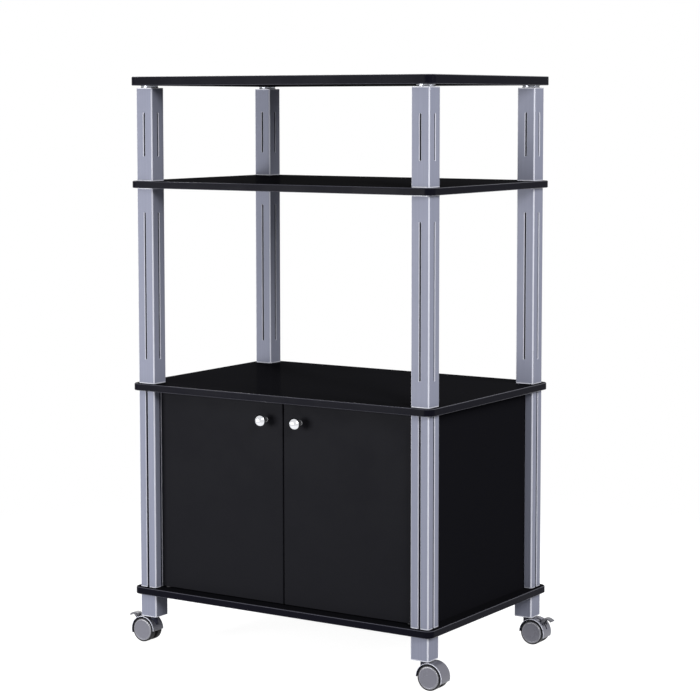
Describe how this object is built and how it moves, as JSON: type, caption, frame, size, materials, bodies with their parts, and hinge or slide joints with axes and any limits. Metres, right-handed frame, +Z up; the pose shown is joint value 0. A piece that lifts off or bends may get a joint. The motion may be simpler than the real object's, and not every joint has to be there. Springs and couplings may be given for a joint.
{
  "type": "microwave stand",
  "caption": "Rolling microwave stand with open shelves over a closed cabinet with hinged doors, on slotted square posts and swivelling twin-wheel casters.",
  "frame": {"origin": "on the floor, in the middle of the stand's footprint", "axes": "+X to the right seen from the front, +Y towards the back, +Z up"},
  "size_m": [0.6496, 0.4, 0.98],
  "materials": {
    "board_laminate": "black laminate with a satin sheen on particle board",
    "board_edging": "dark blue-grey plastic edging, satin",
    "post_plastic": "silver-grey moulded plastic, satin",
    "inner_plastic": "plain moulded plastic",
    "collar_plastic": "silver plated plastic, glossy",
    "fitting_steel": "zinc-plated steel",
    "side_board": "black faced hardboard, satin",
    "catch_plastic": "black plastic with a dark magnet",
    "door_laminate": "black laminate, satin",
    "knob_chrome": "polished chrome plate",
    "wheel_plastic": "silver disc with a black tread",
    "hood_plastic": "silver-grey moulded plastic, satin",
    "lever_plastic": "black moulded plastic"
  },
  "bodies": {
    "stand": {"back_panel": "side_board", "cabinet_floor": "board_laminate", "cabinet_post_front_left": "post_plastic", "cabinet_post_front_right": "post_plastic", "cabinet_post_rear_left": "post_plastic", "cabinet_post_rear_right": "post_plastic", "cabinet_top": "board_laminate", "caster_sockets": "inner_plastic", "caster_stems": "fitting_steel", "door_hinge_pins": "fitting_steel", "foot_post_front_left": "post_plastic", "foot_post_front_right": "post_plastic", "foot_post_rear_left": "post_plastic", "foot_post_rear_right": "post_plastic", "joining_studs": "fitting_steel", "left_side_panel": "side_board", "magnetic_catches": "catch_plastic", "middle_post_front_left": "post_plastic", "middle_post_front_right": "post_plastic", "middle_post_rear_left": "post_plastic", "middle_post_rear_right": "post_plastic", "post_end_plugs": "inner_plastic", "right_side_panel": "side_board", "shelf_edge_bands": "board_edging", "top_post_collars": "collar_plastic", "top_shelf": "board_laminate", "top_shelf_inserts": "fitting_steel", "upper_post_front_left": "post_plastic", "upper_post_front_right": "post_plastic", "upper_post_rear_left": "post_plastic", "upper_post_rear_right": "post_plastic", "upper_shelf": "board_laminate"},
    "left_door_leaf": {"left_door": "door_laminate", "left_knob": "knob_chrome", "left_knob_screw": "fitting_steel", "left_hinge_bushes": "inner_plastic", "left_strike_plate": "fitting_steel"},
    "right_door_leaf": {"right_door": "door_laminate", "right_knob": "knob_chrome", "right_knob_screw": "fitting_steel", "right_hinge_bushes": "inner_plastic", "right_strike_plate": "fitting_steel"},
    "front_left_caster": {"front_left_caster_hood": "hood_plastic", "front_left_caster_axle": "fitting_steel"},
    "front_left_caster_front_roller": {"front_left_caster_front_wheel": "wheel_plastic"},
    "front_left_caster_rear_roller": {"front_left_caster_rear_wheel": "wheel_plastic"},
    "front_right_caster": {"front_right_caster_hood": "hood_plastic", "front_right_caster_axle": "fitting_steel"},
    "front_right_caster_front_roller": {"front_right_caster_front_wheel": "wheel_plastic"},
    "front_right_caster_rear_roller": {"front_right_caster_rear_wheel": "wheel_plastic"},
    "rear_left_caster": {"rear_left_caster_hood": "hood_plastic", "rear_left_caster_axle": "fitting_steel"},
    "rear_left_caster_front_roller": {"rear_left_caster_front_wheel": "wheel_plastic"},
    "rear_left_caster_rear_roller": {"rear_left_caster_rear_wheel": "wheel_plastic"},
    "rear_right_caster": {"rear_right_caster_hood": "hood_plastic", "rear_right_caster_axle": "fitting_steel"},
    "rear_right_caster_front_roller": {"rear_right_caster_front_wheel": "wheel_plastic"},
    "rear_right_caster_rear_roller": {"rear_right_caster_rear_wheel": "wheel_plastic"},
    "front_left_brake": {"front_left_caster_brake_lever": "lever_plastic"},
    "rear_right_brake": {"rear_right_caster_brake_lever": "lever_plastic"}
  },
  "joints": [
    {"name": "left_door_hinge", "type": "hinge", "parent": "stand", "child": "left_door_leaf", "pos_m": [-0.245, -0.168, 0.27], "axis": [0, 0, -1], "range_deg": [0, 100]},
    {"name": "right_door_hinge", "type": "hinge", "parent": "stand", "child": "right_door_leaf", "pos_m": [0.245, -0.168, 0.27], "axis": [0, 0, 1], "range_deg": [0, 100]},
    {"name": "front_left_swivel", "type": "hinge", "parent": "stand", "child": "front_left_caster", "pos_m": [-0.274, -0.174, 0.0415], "axis": [0, 0, 1], "continuous": true},
    {"name": "front_left_front_wheel_spin", "type": "hinge", "parent": "front_left_caster", "child": "front_left_caster_front_roller", "pos_m": [-0.29, -0.174, 0.0207], "axis": [0, 1, 0], "continuous": true},
    {"name": "front_left_rear_wheel_spin", "type": "hinge", "parent": "front_left_caster", "child": "front_left_caster_rear_roller", "pos_m": [-0.29, -0.174, 0.0207], "axis": [0, 1, 0], "continuous": true},
    {"name": "front_right_swivel", "type": "hinge", "parent": "stand", "child": "front_right_caster", "pos_m": [0.274, -0.174, 0.0415], "axis": [0, 0, 1], "continuous": true},
    {"name": "front_right_front_wheel_spin", "type": "hinge", "parent": "front_right_caster", "child": "front_right_caster_front_roller", "pos_m": [0.29, -0.174, 0.0207], "axis": [0, 1, 0], "continuous": true},
    {"name": "front_right_rear_wheel_spin", "type": "hinge", "parent": "front_right_caster", "child": "front_right_caster_rear_roller", "pos_m": [0.29, -0.174, 0.0207], "axis": [0, 1, 0], "continuous": true},
    {"name": "rear_left_swivel", "type": "hinge", "parent": "stand", "child": "rear_left_caster", "pos_m": [-0.274, 0.174, 0.0415], "axis": [0, 0, 1], "continuous": true},
    {"name": "rear_left_front_wheel_spin", "type": "hinge", "parent": "rear_left_caster", "child": "rear_left_caster_front_roller", "pos_m": [-0.29, 0.174, 0.0207], "axis": [0, 1, 0], "continuous": true},
    {"name": "rear_left_rear_wheel_spin", "type": "hinge", "parent": "rear_left_caster", "child": "rear_left_caster_rear_roller", "pos_m": [-0.29, 0.174, 0.0207], "axis": [0, 1, 0], "continuous": true},
    {"name": "rear_right_swivel", "type": "hinge", "parent": "stand", "child": "rear_right_caster", "pos_m": [0.274, 0.174, 0.0415], "axis": [0, 0, 1], "continuous": true},
    {"name": "rear_right_front_wheel_spin", "type": "hinge", "parent": "rear_right_caster", "child": "rear_right_caster_front_roller", "pos_m": [0.29, 0.174, 0.0207], "axis": [0, 1, 0], "continuous": true},
    {"name": "rear_right_rear_wheel_spin", "type": "hinge", "parent": "rear_right_caster", "child": "rear_right_caster_rear_roller", "pos_m": [0.29, 0.174, 0.0207], "axis": [0, 1, 0], "continuous": true},
    {"name": "front_left_brake_pedal", "type": "hinge", "parent": "front_left_caster", "child": "front_left_brake", "pos_m": [-0.297, -0.174, 0.0327], "axis": [0, -1, 0], "range_deg": [0, 15]},
    {"name": "rear_right_brake_pedal", "type": "hinge", "parent": "rear_right_caster", "child": "rear_right_brake", "pos_m": [0.297, 0.174, 0.0327], "axis": [0, 1, 0], "range_deg": [0, 15]}
  ]
}
